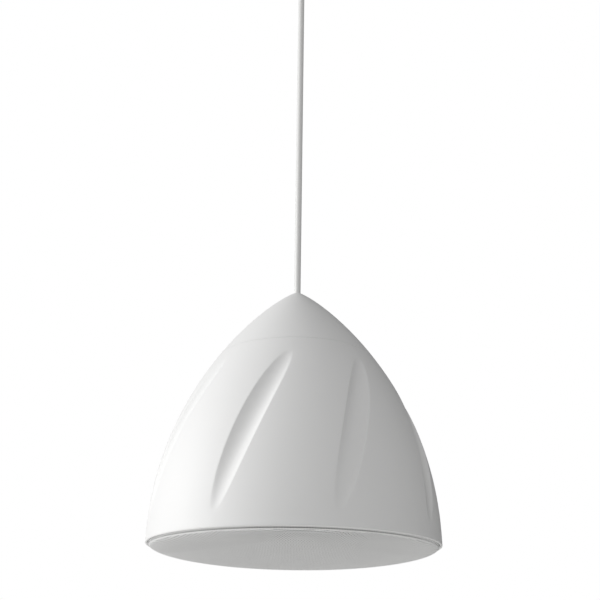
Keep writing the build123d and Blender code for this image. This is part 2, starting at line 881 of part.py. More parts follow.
with BuildPart() as tweeter_guide:
    with BuildSketch(section):
        with BuildLine():
            flare = Line(
                (tweeter_dome_radius + 1, tweeter_front),
                (tweeter_radius - 1, tweeter_front - tweeter_guide_height),
            )
            Polyline(
                flare @ 1,
                (tweeter_radius, tweeter_front - tweeter_guide_height * 0.7),
                (tweeter_radius, tweeter_front),
                (tweeter_dome_radius + 1, tweeter_front),
            )
        make_face()
    revolve(axis=Axis.Z)
    with BuildSketch(level(tweeter_front)):
        Circle(tweeter_radius - tweeter_wall)
        Circle(tweeter_dome_radius + 1, mode=Mode.SUBTRACT)
    extrude(amount=1)
save(tweeter_guide, "tweeter_guide")

with BuildPart() as tweeter_dome:
    with BuildSketch(section):
        with BuildLine():
            Polyline(
                (0, tweeter_front - tweeter_dome_rise),
                (tweeter_dome_radius / 2, tweeter_front - tweeter_dome_rise * 0.8),
                (tweeter_dome_radius, tweeter_front),
                (tweeter_dome_radius - tweeter_dome_sheet, tweeter_front),
                (tweeter_dome_radius / 2, tweeter_front - tweeter_dome_rise * 0.8 + tweeter_dome_sheet),
                (0, tweeter_front - tweeter_dome_rise + tweeter_dome_sheet),
                close=True,
            )
        make_face()
    revolve(axis=Axis.Z)
    with BuildSketch(level(tweeter_front)):
        Circle(tweeter_dome_radius + 1)
        Circle(tweeter_dome_radius - tweeter_dome_sheet, mode=Mode.SUBTRACT)
    extrude(amount=1)
    with BuildSketch(level(tweeter_front + 1)):
        Circle(tweeter_dome_radius)
        Circle(tweeter_dome_radius - tweeter_dome_sheet, mode=Mode.SUBTRACT)
    extrude(amount=cup_back - tweeter_wall - tweeter_magnet_height - tweeter_front - 1)
save(tweeter_dome, "tweeter_dome")

# Tap switch: body behind the baffle, threaded bush, nut in front, and the knob on its shaft
bush_front = baffle_face - switch_nut_height - knob_gap
shaft_back = baffle_back + switch_height / 2
with BuildPart() as tap_switch:
    with BuildSketch(spot(side_circle, switch_turn, baffle_back)):
        Circle(switch_radius)
    extrude(amount=switch_height)
    chamfer(tap_switch.edges().group_by(Axis.Z)[-1], length=1.5)
    with BuildSketch(spot(side_circle, switch_turn, bush_front)):
        Circle(bush_radius)
    extrude(amount=baffle_back - bush_front)
    with BuildSketch(spot(side_circle, switch_turn, bush_front)):
        Circle(shaft_radius + shaft_play)
    extrude(amount=shaft_back - bush_front, mode=Mode.SUBTRACT)
save(tap_switch, "tap_switch")

with BuildPart() as switch_nut:
    with BuildSketch(spot(side_circle, switch_turn, baffle_face - switch_nut_height)):
        RegularPolygon(switch_nut_radius, 6)
        Circle(bush_radius + thread_play, mode=Mode.SUBTRACT)
    extrude(amount=switch_nut_height)
save(switch_nut, "switch_nut")

knob_back = bush_front - knob_gap
knob_front = knob_back - knob_height
with BuildPart() as tap_knob:
    with BuildSketch(spot(side_circle, switch_turn, knob_front)):
        Circle(knob_radius)
        with PolarLocations(knob_radius + 0.6, knob_flutes, start_angle=180 / knob_flutes):
            Circle(1.5, mode=Mode.SUBTRACT)
    extrude(amount=knob_height)
    with BuildSketch(spot(side_circle, switch_turn, knob_front)):
        with Locations((knob_radius / 2, 0)):
            Rectangle(knob_radius, pointer_width)
    extrude(amount=pointer_depth, mode=Mode.SUBTRACT)
    with BuildSketch(spot(side_circle, switch_turn, knob_back)):
        Circle(shaft_radius)
    extrude(amount=shaft_back - knob_gap - knob_back)
save(tap_knob, "tap_knob")

# Line transformer: laminated core, its winding through the two windows, and its strap
core_foot = baffle_back
winding_foot = core_foot + (core_height - winding_height) / 2
leg = (core_length - winding_length) / 4
with BuildPart() as transformer_core:
    with BuildSketch(spot(side_circle, transformer_turn, core_foot)):
        Rectangle(core_width, core_length)
    extrude(amount=core_height)
    with BuildSketch(spot(side_circle, transformer_turn, winding_foot)):
        with Locations((0, core_length / 2 - leg - winding_length / 4),
                       (0, leg + winding_length / 4 - core_length / 2)):
            Rectangle(core_width, winding_length / 2)
    extrude(amount=winding_height, mode=Mode.SUBTRACT)
save(transformer_core, "transformer_core")

with BuildPart() as transformer_winding:
    with BuildSketch(spot(side_circle, transformer_turn, winding_foot)):
        RectangleRounded(winding_depth, core_length - 2 * leg, 4)
        Rectangle(core_width, 2 * leg, mode=Mode.SUBTRACT)
    extrude(amount=winding_height)
save(transformer_winding, "transformer_winding")

with BuildPart() as transformer_strap:
    with BuildSketch(
        Plane(origin=spot(side_circle, transformer_turn, core_foot).origin,
              x_dir=(-sin(radians(transformer_turn)), cos(radians(transformer_turn)), 0),
              z_dir=(cos(radians(transformer_turn)), sin(radians(transformer_turn)), 0))
    ):
        with BuildLine():
            Polyline(
                (-core_length / 2 - strap_foot, 0),
                (-core_length / 2, 0),
                (-core_length / 2, core_height),
                (core_length / 2, core_height),
                (core_length / 2, 0),
                (core_length / 2 + strap_foot, 0),
            )
            offset(amount=strap_thickness, side=Side.LEFT, kind=Kind.INTERSECTION)
        make_face()
    extrude(amount=core_width / 4, both=True)
save(transformer_strap, "transformer_strap")

# Crossover board on its standoffs, with its coil, capacitors and resistor
board_foot = baffle_back + standoff_height
board_top = board_foot + board_thickness
board_width = side_room * board_share
inductor_radius = board_width * inductor_share
capacitor_radius = board_width * capacitor_share
resistor_width = board_width * resistor_share
stand_x = board_width / 2 - standoff_inset
stand_y = board_length / 2 - standoff_inset
with BuildPart() as board_standoffs:
    with BuildSketch(spot(side_circle, board_turn, baffle_back)):
        with GridLocations(2 * stand_x, 2 * stand_y, 2, 2):
            Circle(standoff_radius)
    extrude(amount=standoff_height)
save(board_standoffs, "board_standoffs")

with BuildPart() as crossover_board:
    with BuildSketch(spot(side_circle, board_turn, board_foot)):
        Rectangle(board_width, board_length)
    extrude(amount=board_thickness)
save(crossover_board, "crossover_board")

with BuildPart() as crossover_coil:
    with BuildSketch(spot(side_circle, board_turn, board_top)):
        with Locations((0, board_length / 2 - inductor_radius - 4)):
            Circle(inductor_radius)
            Circle(inductor_radius * 0.4, mode=Mode.SUBTRACT)
    extrude(amount=inductor_height)
save(crossover_coil, "crossover_coil")

capacitor_y = -board_length / 2 + capacitor_length / 2 + 4
with BuildPart() as crossover_capacitors:
    for side in (-1, 1):
        place = spot(side_circle, board_turn, board_top + capacitor_radius)
        middle = place.from_local_coords((side * (capacitor_radius + 0.5), capacitor_y, 0))
        with BuildSketch(Plane(origin=middle, x_dir=place.x_dir, z_dir=place.y_dir)):
            Circle(capacitor_radius)
        extrude(amount=capacitor_length / 2, both=True)
save(crossover_capacitors, "crossover_capacitors")

with BuildPart() as crossover_resistor:
    with BuildSketch(spot(side_circle, board_turn, board_top)):
        with Locations((-board_width / 2 + resistor_width / 2 + 0.5, capacitor_y)):
            Rectangle(resistor_width, resistor_length)
    extrude(amount=resistor_width)
save(crossover_resistor, "crossover_resistor")

# Damping pad round the bell's inside, just clear of the scoops' backs
pad_side = hidden_side(pad_bottom, pad_top, shell_wall + scoop_depth + pad_play, 2)
with BuildPart() as damping_pad:
    with BuildSketch(section):
        with BuildLine():
            Polyline(
                *pad_side,
                *[(radius - pad_thickness, height) for radius, height in pad_side[::-1]],
                close=True,
            )
        make_face()
    revolve(axis=Axis.Z)
save(damping_pad, "damping_pad")

# Ceiling canopy: a round cup, open against the ceiling, with the grip's hole in its floor
with BuildPart() as ceiling_canopy:
    with BuildSketch(level(canopy_foot)):
        Circle(canopy_radius)
    extrude(amount=canopy_depth)
    chamfer(ceiling_canopy.edges().group_by(Axis.Z)[0], length=canopy_corner)
    offset(amount=-canopy_wall, openings=ceiling_canopy.faces().sort_by(Axis.Z)[-1])
    with BuildSketch(level(canopy_foot)):
        Circle(grip_thread_radius + thread_play)
    extrude(amount=canopy_wall, mode=Mode.SUBTRACT)
    with BuildSketch(Plane(origin=(0, 0, -side_screw_drop), x_dir=(0, 1, 0), z_dir=(1, 0, 0))):
        Circle(screw_bore)
    extrude(amount=canopy_radius, both=True, mode=Mode.SUBTRACT)
save(ceiling_canopy, "ceiling_canopy")

# Ceiling bracket: a folded strip with two slots, its tabs inside the canopy's wall
tab_outer = canopy_radius - canopy_wall - bracket_side_play - bracket_width**2 / 8 / canopy_radius
with BuildPart() as ceiling_bracket:
    with BuildSketch(Plane(origin=(0, 0, 0), x_dir=(1, 0, 0), z_dir=(0, -1, 0))):
        with BuildLine():
            Polyline(
                (-tab_outer, -bracket_tab), (-tab_outer, 0), (tab_outer, 0), (tab_outer, -bracket_tab)
            )
            offset(amount=bracket_sheet, side=Side.RIGHT, kind=Kind.INTERSECTION)
        make_face()
    extrude(amount=bracket_width / 2, both=True)
    with BuildSketch(Plane.XY.offset(-bracket_sheet)):
        with Locations((slot_spacing / 2, 0), (-slot_spacing / 2, 0)):
            SlotOverall(slot_length, 2 * slot_radius)
    extrude(amount=bracket_sheet, mode=Mode.SUBTRACT)
    with BuildSketch(Plane(origin=(0, 0, -side_screw_drop), x_dir=(0, 1, 0), z_dir=(1, 0, 0))):
        Circle(pilot_bore)
    extrude(amount=canopy_radius, both=True, mode=Mode.SUBTRACT)
save(ceiling_bracket, "ceiling_bracket")

with BuildPart() as canopy_screws:
    for side in (-1, 1):
        wall = (side * (canopy_radius + 0.2), 0, -side_screw_drop)
        with BuildSketch(Plane(origin=wall, x_dir=(0, 1, 0), z_dir=(side, 0, 0))):
            Circle(screw_head_radius)
        extrude(amount=screw_head_height)
        with BuildSketch(Plane(origin=wall, x_dir=(0, 1, 0), z_dir=(-side, 0, 0))):
            Circle(screw_radius)
        extrude(amount=canopy_wall + 3 * bracket_sheet)
save(canopy_screws, "canopy_screws")

# Ceiling grip: tapered body under the canopy, its thread through the floor, and its nut
with BuildPart() as ceiling_grip:
    with BuildSketch(section):
        with BuildLine():
            Polyline(
                (grip_bore, grip_foot),
                (grip_radius * 0.62, grip_foot),
                (grip_radius, canopy_foot - grip_height / 3),
                (grip_radius, canopy_foot),
                (grip_thread_radius, canopy_foot),
                (grip_thread_radius, canopy_foot + grip_thread_length),
                (grip_bore, canopy_foot + grip_thread_length),
                close=True,
            )
        make_face()
    revolve(axis=Axis.Z)
save(ceiling_grip, "ceiling_grip")

with BuildPart() as grip_nut:
    with BuildSketch(level(canopy_foot + canopy_wall)):
        RegularPolygon(grip_nut_radius, 6)
        Circle(grip_thread_radius + thread_play, mode=Mode.SUBTRACT)
    extrude(amount=grip_nut_height)
save(grip_nut, "grip_nut")
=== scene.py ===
"""The pendant speaker dressed for its picture, from the ceiling down to the grille."""
import math

import bmesh
import bpy
import numpy as np
from mathutils import Matrix, Vector
from mathutils.geometry import delaunay_2d_cdt


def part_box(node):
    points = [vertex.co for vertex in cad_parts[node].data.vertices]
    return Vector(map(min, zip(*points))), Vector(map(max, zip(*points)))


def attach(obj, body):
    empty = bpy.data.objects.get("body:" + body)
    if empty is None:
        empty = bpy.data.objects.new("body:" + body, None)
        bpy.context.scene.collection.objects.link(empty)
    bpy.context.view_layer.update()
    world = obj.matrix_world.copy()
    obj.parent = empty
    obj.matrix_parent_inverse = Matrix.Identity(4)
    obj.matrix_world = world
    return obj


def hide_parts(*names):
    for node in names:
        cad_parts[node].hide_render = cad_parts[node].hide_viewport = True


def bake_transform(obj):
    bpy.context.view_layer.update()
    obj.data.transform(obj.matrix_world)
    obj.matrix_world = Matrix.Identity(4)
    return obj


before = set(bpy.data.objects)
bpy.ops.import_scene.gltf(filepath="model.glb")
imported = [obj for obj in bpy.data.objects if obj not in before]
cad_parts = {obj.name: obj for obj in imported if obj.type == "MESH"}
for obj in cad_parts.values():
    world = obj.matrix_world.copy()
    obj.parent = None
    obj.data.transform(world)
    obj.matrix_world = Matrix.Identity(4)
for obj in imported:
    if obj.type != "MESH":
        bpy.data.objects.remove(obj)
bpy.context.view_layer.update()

mm = 0.001

# The picture's viewpoint: a little below the rim and looking up, so the grille's lower
# curve shows, with the bell hanging slightly out of true as it does in the photograph.
shell_low, shell_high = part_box("body_shell")
rim_z = shell_low.z
rim_radius = 158 * mm
viewer_distance = 1.165
viewer_drop = 0.1454
viewer_pitch = math.radians(20.14)
viewer_yaw = math.radians(-0.16)
viewer_roll = math.radians(0.75)
photographer = bpy.data.objects.new("photographer", bpy.data.cameras.new("photographer"))
bpy.context.collection.objects.link(photographer)
photographer.data.sensor_width = 36
photographer.data.lens = 64.1
photographer.location = (0, -viewer_distance, rim_z - viewer_drop)
photographer.rotation_euler = (
    Matrix.Rotation(viewer_yaw, 3, "Z")
    @ Matrix.Rotation(math.pi / 2 + viewer_pitch, 3, "X")
    @ Matrix.Rotation(viewer_roll, 3, "Z")
).to_euler()
bpy.context.scene.camera = photographer

# The pendant cable: one round sheathed cable, pulled straight by the speaker's weight, from
# the gland inside the crown up to the grip under the ceiling canopy. The sheath is satin PVC.


def shade_group(name, inputs, outputs):
    """An empty node group with these named inputs and outputs, and its two end nodes."""
    group = bpy.data.node_groups.new(name, "ShaderNodeTree")
    for label, kind, value in inputs:
        socket = group.interface.new_socket(label, in_out="INPUT", socket_type=kind)
        socket.default_value = value
    for label, kind in outputs:
        group.interface.new_socket(label, in_out="OUTPUT", socket_type=kind)
    return group, group.nodes.new("NodeGroupInput"), group.nodes.new("NodeGroupOutput")


def surface_grain():
    """Fine grain over a slow drift of tone: what moulded, coated and pressed surfaces share."""
    group, given, result = shade_group(
        "surface_grain",
        [
            ("Base", "NodeSocketColor", (0.8, 0.8, 0.8, 1)),
            ("Drift", "NodeSocketColor", (0.7, 0.7, 0.7, 1)),
            ("Grain Size", "NodeSocketFloat", 0.0005),
            ("Drift Size", "NodeSocketFloat", 0.05),
            ("Rough Low", "NodeSocketFloat", 0.4),
            ("Rough High", "NodeSocketFloat", 0.5),
        ],
        [("Color", "NodeSocketColor"), ("Roughness", "NodeSocketFloat"), ("Height", "NodeSocketFloat")],
    )
    nodes, links = group.nodes, group.links
    place = nodes.new("ShaderNodeTexCoord")
    fine_scale, slow_scale = nodes.new("ShaderNodeMath"), nodes.new("ShaderNodeMath")
    for maths, label in ((fine_scale, "Grain Size"), (slow_scale, "Drift Size")):
        maths.operation = "DIVIDE"
        maths.inputs[0].default_value = 1
        links.new(given.outputs[label], maths.inputs[1])
    fine, slow = nodes.new("ShaderNodeTexNoise"), nodes.new("ShaderNodeTexNoise")
    for noise, scale, detail in ((fine, fine_scale, 3), (slow, slow_scale, 4)):
        noise.inputs["Detail"].default_value = detail
        links.new(place.outputs["Object"], noise.inputs["Vector"])
        links.new(scale.outputs[0], noise.inputs["Scale"])
    tone = nodes.new("ShaderNodeMix")
    tone.data_type = "RGBA"
    links.new(slow.outputs["Fac"], tone.inputs["Factor"])
    links.new(given.outputs["Base"], tone.inputs[6])
    links.new(given.outputs["Drift"], tone.inputs[7])
    rough = nodes.new("ShaderNodeMapRange")
    rough.inputs["From Min"].default_value = 0.3
    rough.inputs["From Max"].default_value = 0.7
    links.new(fine.outputs["Fac"], rough.inputs["Value"])
    links.new(given.outputs["Rough Low"], rough.inputs["To Min"])
    links.new(given.outputs["Rough High"], rough.inputs["To Max"])
    links.new(tone.outputs[2], result.inputs["Color"])
    links.new(rough.outputs["Result"], result.inputs["Roughness"])
    links.new(fine.outputs["Fac"], result.inputs["Height"])
    return group


grain = surface_grain()


def finish(name, base, drift, grain_size, drift_size, rough, bump, metallic=0.0, coat=0.0, sheen=0.0):
    """A material of one Principled shader whose colour, roughness and relief follow the grain."""
    material = bpy.data.materials.new(name)
    material.use_nodes = True
    nodes, links = material.node_tree.nodes, material.node_tree.links
    shader = nodes["Principled BSDF"]
    shader.inputs["Metallic"].default_value = metallic
    shader.inputs["Coat Weight"].default_value = coat
    shader.inputs["Coat Roughness"].default_value = 0.15
    shader.inputs["Sheen Weight"].default_value = sheen
    skin = nodes.new("ShaderNodeGroup")
    skin.node_tree = grain
    skin.name = "grain"
    skin.inputs["Base"].default_value = (*base, 1)
    skin.inputs["Drift"].default_value = (*drift, 1)
    skin.inputs["Grain Size"].default_value = grain_size
    skin.inputs["Drift Size"].default_value = drift_size
    skin.inputs["Rough Low"].default_value = rough[0]
    skin.inputs["Rough High"].default_value = rough[1]
    relief = nodes.new("ShaderNodeBump")
    relief.name = "relief"
    relief.inputs["Strength"].default_value = 0.5
    relief.inputs["Distance"].default_value = bump
    links.new(skin.outputs["Color"], shader.inputs["Base Color"])
    links.new(skin.outputs["Roughness"], shader.inputs["Roughness"])
    links.new(skin.outputs["Height"], relief.inputs["Height"])
    links.new(relief.outputs["Normal"], shader.inputs["Normal"])
    return material


cable_low, cable_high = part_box("pendant_cable")
cable_radius = cable_high.x
crown_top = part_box("top_cap")[1].z
grip_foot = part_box("ceiling_grip")[0].z
straight_run = 12 * cable_radius
cable_line = bpy.data.curves.new("pendant_cable_sheath", "CURVE")
cable_line.dimensions = "3D"
cable_spline = cable_line.splines.new("NURBS")
cable_heights = (cable_low.z, crown_top + straight_run, grip_foot - straight_run, cable_high.z)
cable_spline.points.add(len(cable_heights) - 1)
for point, height in zip(cable_spline.points, cable_heights):
    point.co = (0, 0, height, 1)
cable_spline.order_u = 3
cable_spline.use_endpoint_u = True
cable_line.bevel_depth = cable_radius
cable_line.bevel_resolution = 8
cable_line.resolution_u = 24
cable_line.use_fill_caps = True
cable = bpy.data.objects.new("pendant_cable_sheath", cable_line)
bpy.context.collection.objects.link(cable)
sheath_white = finish(
    "satin_cable_sheath", (0.83, 0.83, 0.82), (0.78, 0.78, 0.77),
    grain_size=0.7 * mm, drift_size=30 * mm, rough=(0.34, 0.46), bump=0.04 * mm,
)
cable_line.materials.append(sheath_white)
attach(cable, "enclosure")
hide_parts("pendant_cable")

# The ceiling fitting: a moulded canopy over a zinc-plated bracket, held by two side screws,
# with the cable's grip screwed up through the canopy's floor and locked by its nut.
shell_white = finish(
    "satin_white_moulding", (0.86, 0.86, 0.855), (0.83, 0.83, 0.825),
    grain_size=0.9 * mm, drift_size=90 * mm, rough=(0.52, 0.62), bump=0.03 * mm,
)
zinc_plate = finish(
    "zinc_plated_steel", (0.62, 0.63, 0.64), (0.50, 0.52, 0.54),
    grain_size=0.4 * mm, drift_size=6 * mm, rough=(0.28, 0.42), bump=0.03 * mm, metallic=1.0,
)


def dress(material, *nodes):
    """Gives CAD nodes their finish."""
    for node in nodes:
        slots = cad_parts[node].data.materials
        if len(slots):
            slots[0] = material
        else:
            slots.append(material)


dress(shell_white, "ceiling_canopy", "ceiling_grip", "grip_nut")
dress(zinc_plate, "ceiling_bracket", "canopy_screws")

# The hanger under the crown: a folded zinc-plated yoke screwed to the deck, with a black
# nylon gland and nut that grip the cable in its bar.
black_nylon = finish(
    "matt_black_moulding", (0.035, 0.035, 0.037), (0.05, 0.05, 0.052),
    grain_size=0.6 * mm, drift_size=20 * mm, rough=(0.5, 0.66), bump=0.05 * mm,
)
dress(zinc_plate, "hanger_yoke", "hanger_screws")
dress(black_nylon, "cable_gland", "gland_nut")

# The terminals on the deck: a black block with brass clamp screws, fed by two soft leads
# from the cable's foot, beside the rubber grommet where the inner wires pass the deck.
brass = finish(
    "turned_brass", (0.72, 0.52, 0.22), (0.62, 0.44, 0.18),
    grain_size=0.2 * mm, drift_size=4 * mm, rough=(0.22, 0.36), bump=0.02 * mm, metallic=1.0,
)
black_rubber = finish(
    "black_rubber", (0.022, 0.022, 0.023), (0.032, 0.032, 0.033),
    grain_size=0.5 * mm, drift_size=15 * mm, rough=(0.6, 0.78), bump=0.06 * mm,
)
lead_cover = finish(
    "soft_lead_cover", (0.74, 0.74, 0.72), (0.66, 0.66, 0.64),
    grain_size=0.3 * mm, drift_size=10 * mm, rough=(0.45, 0.6), bump=0.03 * mm,
)
dress(black_nylon, "terminal_block")
dress(brass, "terminal_screws")


def new_piece(name, points, faces, material, body, slot, *nodes, sharp=35):
    """A smooth mesh piece that rides on a body, and stands for CAD nodes where they are named."""
    mesh = bpy.data.meshes.new(name)
    mesh.from_pydata([tuple(map(float, p)) for p in points], [], faces)
    mesh.validate()
    skin = bmesh.new()
    skin.from_mesh(mesh)
    bmesh.ops.recalc_face_normals(skin, faces=skin.faces)
    skin.to_mesh(mesh)
    skin.free()
    mesh.shade_smooth()
    mesh.set_sharp_from_angle(angle=math.radians(sharp))
    mesh.materials.append(material)
    piece = bpy.data.objects.new(name, mesh)
    bpy.context.collection.objects.link(piece)
    if body:
        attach(piece, body)
    if nodes:
        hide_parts(*nodes)
    return piece


def turned(profile, around=(0, 0), steps=96):
    """Points and faces of a closed profile of (radius, z) pairs turned right round an upright axis."""
    turns = np.arange(steps) * 2 * np.pi / steps
    points = [
        (around[0] + r * math.cos(t), around[1] + r * math.sin(t), z) for t in turns for r, z in profile
    ]
    count = len(profile)
    faces = []
    for i in range(steps):
        here, there = i * count, (i + 1) % steps * count
        for j in range(count):
            k = (j + 1) % count
            faces.append((here + j, there + j, there + k, here + k))
    return points, faces


def centre_of(node):
    """The middle of a node's box."""
    low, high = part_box(node)
    return (low + high) / 2


lead_low, lead_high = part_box("lead_pair")
lead_radius = 1.4 * mm
lead_clearance = 1.15
lead_inner = lead_radius * lead_clearance
lead_reach = lead_high.x - lead_radius
for side, name in ((-1, "lead_left"), (1, "lead_right")):
    line = bpy.data.curves.new(name, "CURVE")
    line.dimensions = "3D"
    spline = line.splines.new("NURBS")
    stations = [
        (side * lead_inner, 0, lead_high.z),
        (side * lead_inner, 0, (lead_high.z + lead_low.z) / 2),
        (side * lead_inner, -2 * lead_radius, lead_low.z + lead_radius),
        (side * lead_reach, lead_low.y / 2, lead_low.z + lead_radius),
        (side * lead_reach, lead_low.y, lead_low.z + lead_radius),
    ]
    spline.points.add(len(stations) - 1)
    for point, station in zip(spline.points, stations):
        point.co = (*station, 1)
    spline.order_u = 3
    spline.use_endpoint_u = True
    line.bevel_depth = lead_radius
    line.bevel_resolution = 4
    line.use_fill_caps = True
    line.materials.append(lead_cover)
    lead = bpy.data.objects.new(name, line)
    bpy.context.collection.objects.link(lead)
    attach(lead, "enclosure")
    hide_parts("lead_pair")

grommet_low, grommet_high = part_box("deck_grommet")
grommet_place = centre_of("deck_grommet")
grommet_flange = grommet_high.x
grommet_bore = 3.2 * mm
grommet_step = 2 * mm
grommet_round = 0.8 * mm
grommet_neck = grommet_flange - grommet_step
grommet_profile = [
    (grommet_bore, grommet_low.z), (grommet_neck, grommet_low.z),
    (grommet_neck, grommet_high.z - grommet_step), (grommet_flange, grommet_high.z - grommet_step),
    (grommet_flange, grommet_high.z - grommet_round),
    (grommet_flange - grommet_round, grommet_high.z), (grommet_bore + grommet_round, grommet_high.z),
    (grommet_bore, grommet_high.z - grommet_round),
]
new_piece("deck_grommet_rubber", *turned(grommet_profile, (grommet_place.x, grommet_place.y), 48),
          black_rubber, "enclosure", "rubber", "deck_grommet")

# The body shell: one white moulding, bell-shaped, with eight slanting scoops cut crisply into
# its side, a bevelled rim, a ledge for the baffle, and the deck and collar under the crown.
crown_height = 291.1 * mm
form_fullness, form_taper, form_pinch = 2.144, 0.837, 0.041
shell_wall = 3 * mm
seam_height = shell_high.z - rim_z
lip_width = 2.5 * mm
mouth_radius = rim_radius - lip_width
ledge_width = 9 * mm
ledge_radius = mouth_radius - ledge_width
mouth_depth = 15 * mm
ledge_thickness = 4 * mm
lip_bevel = 0.9 * mm
deck_drop = 14 * mm
deck_top = seam_height - deck_drop
deck_thickness = 3 * mm
scoop_count = 8
scoop_stations = ((12.7 * mm, -29.9), (96 * mm, -20.9), (191.5 * mm, -2.9))
scoop_section_radius = 20.4 * mm
scoop_depth = 5.3 * mm
scoop_run_out = 0.6 * mm
scoop_edge_softness = 0.7 * mm
scoop_pitch = 2 * np.pi / scoop_count


def bell_radius(height, inset=0.0):
    """The bell's radius at a height above the rim, or that of the form lying inset inside it."""
    share = np.clip(height / (crown_height - inset), 0, 1)
    return (rim_radius - inset) * (1 - share**form_fullness) ** form_taper * (1 - form_pinch * share)


def scoop_centre(height, turn, depth):
    """Where the scoop's round tool is centred over a point of the bell."""
    step = 0.5 * mm
    slope = (bell_radius(height - step) - bell_radius(height + step)) / (2 * step)
    out = (scoop_section_radius - depth) / math.sqrt(1 + slope**2)
    radius = bell_radius(height) + out
    angle = math.radians(turn)
    return Vector((radius * math.sin(angle), -radius * math.cos(angle), height + out * slope))


tool_low, tool_middle, tool_high = (
    scoop_centre(height, turn, depth)
    for (height, turn), depth in zip(scoop_stations, (-scoop_run_out, scoop_depth, -scoop_run_out))
)


def circle_through(a, b, c):
    """Centre, unit normal and radius of the circle through three points."""
    u, v = b - a, c - a
    normal = u.cross(v)
    centre = a + (v.length_squared * normal.cross(u) + u.length_squared * v.cross(normal)) / (
        2 * normal.length_squared)
    return np.array(centre), np.array(normal.normalized()), (a - centre).length


path_centre, path_normal, path_radius = circle_through(tool_low, tool_middle, tool_high)


def inside_tool(radius, turn, height):
    """How far a point of the shell lies inside the nearest scoop's tool; negative outside it.
    A scoop leans across more than its own sector, so four neighbours are tried."""
    best = np.full(np.broadcast(radius, turn, height).shape, -1.0)
    for lap in (-2, -1, 0, 1):
        angle = turn % scoop_pitch + lap * scoop_pitch
        x = radius * np.sin(angle) - path_centre[0]
        y = -radius * np.cos(angle) - path_centre[1]
        z = height - path_centre[2]
        off_plane = x * path_normal[0] + y * path_normal[1] + z * path_normal[2]
        in_plane = np.sqrt(np.maximum(x * x + y * y + z * z - off_plane**2, 0)) - path_radius
        best = np.maximum(best, scoop_section_radius - np.sqrt(off_plane**2 + in_plane**2))
    return best


def carved_radius(turn, height, softness):
    """The shell's radius with the scoops cut in and their edges softened, found by halving."""
    outside = bell_radius(height) + np.zeros_like(turn)
    low, high = outside - 2.5 * scoop_depth, outside + softness
    halvings = 26
    for _ in range(halvings):
        middle = (low + high) / 2
        bell = middle - outside
        tool = inside_tool(middle, turn, height)
        blend = np.maximum(softness - np.abs(bell - tool), 0) / softness
        solid = np.maximum(bell, tool) + blend**2 * softness / 4 < 0
        low, high = np.where(solid, middle, low), np.where(solid, high, middle)
    return (low + high) / 2


def scoop_edges(height):
    """The turns of a scoop's two edges at one height, or a hair's width on its line past its ends."""
    bend = np.polyfit([s[0] for s in scoop_stations], [math.radians(s[1]) for s in scoop_stations], 2)
    line = np.polyval(bend, np.clip(height, scoop_stations[0][0], scoop_stations[2][0]))
    scan_reach, scan_count, hair = 0.28, 1401, 0.0012
    scan = line + np.linspace(-scan_reach, scan_reach, scan_count)
    cut = inside_tool(bell_radius(height) + 0 * scan, scan, height) > 0
    if not cut.any():
        return line - hair, line + hair
    first, last = scan[cut][0], scan[cut][-1]
    middle, half = (first + last) / 2, max((last - first) / 2, hair)
    return middle - half, middle + half


def shell_columns(height):
    """One sector's turns at a height, closing in on the scoop's edges from both sides. The
    steps are in millimetres on the bell's side, part-way up it."""
    left, right = scoop_edges(height)
    mm_turn = 1.15 * mm / rim_radius
    out_steps = np.array([0.14, 0.4, 0.8, 2.0]) * mm_turn
    in_steps = np.minimum(out_steps, np.array([0.08, 0.2, 0.36, 0.6]) * (right - left) / 2)
    floor_left, floor_right = left + in_steps[-1], right - in_steps[-1]
    floor = floor_left + (floor_right - floor_left) * np.linspace(0, 1, 9)[1:-1]
    land_left, land_right = right + out_steps[-1], left + scoop_pitch - out_steps[-1]
    land = land_left + (land_right - land_left) * np.linspace(0, 1, 13)[1:-1]
    return np.concatenate([
        left - out_steps[::-1], left + in_steps, floor, right - in_steps[::-1], right + out_steps, land,
    ])


def spaced(low, high, count):
    """Heights from low to high, closer together near both ends."""
    return (low + high) / 2 - (high - low) / 2 * np.cos(np.linspace(0, np.pi, count))


collar_bevel = 0.4 * mm
rim_rows = np.array([lip_bevel, 2.5 * mm, 6 * mm])
scoop_rows = spaced(scoop_stations[0][0] - 2 * mm, scoop_stations[2][0] + 1 * mm, 92)
seam_rows = np.array([197 * mm, 202.5 * mm, seam_height - collar_bevel])
skin_heights = np.concatenate([rim_rows, scoop_rows, seam_rows])
column_turns = np.array([
    np.concatenate([shell_columns(h) + k * scoop_pitch for k in range(scoop_count)]) for h in skin_heights
])
skin_radii = carved_radius(column_turns, skin_heights[:, None], scoop_edge_softness)


def ring(turns, radius, height):
    """One ring of the shell's mesh, as points at a height above the rim."""
    radius = radius + np.zeros_like(turns)
    return np.stack([radius * np.sin(turns), -radius * np.cos(turns), 0 * turns + rim_z + height], axis=1)


foot, head = column_turns[0], column_turns[-1]
around_count = len(foot)
collar_high = bell_radius(seam_height, shell_wall)
collar_low = bell_radius(deck_top, shell_wall)
deck_bottom = deck_top - deck_thickness
edge_break = 0.06 * mm
deck_round = 0.5 * mm
ledge_top = mouth_depth + ledge_thickness
inner_rows = [i for i, h in enumerate(skin_heights) if ledge_top < h < deck_bottom][::3]
outside_rings = [ring(column_turns[i], skin_radii[i], h) for i, h in enumerate(skin_heights)] + [
    ring(head, bell_radius(seam_height) - edge_break / 3, seam_height - edge_break),
    ring(head, bell_radius(seam_height) - edge_break, seam_height),
    ring(head, collar_high + collar_bevel, seam_height),
    ring(head, collar_high, seam_height - collar_bevel),
    ring(head, collar_low, deck_top + deck_round),
    ring(head, collar_low - deck_round, deck_top),
]
inside_rings = [ring(head, bell_radius(deck_bottom, shell_wall), deck_bottom)]
inside_rings += [
    ring(column_turns[i], skin_radii[i] - shell_wall, skin_heights[i]) for i in inner_rows[::-1]
]
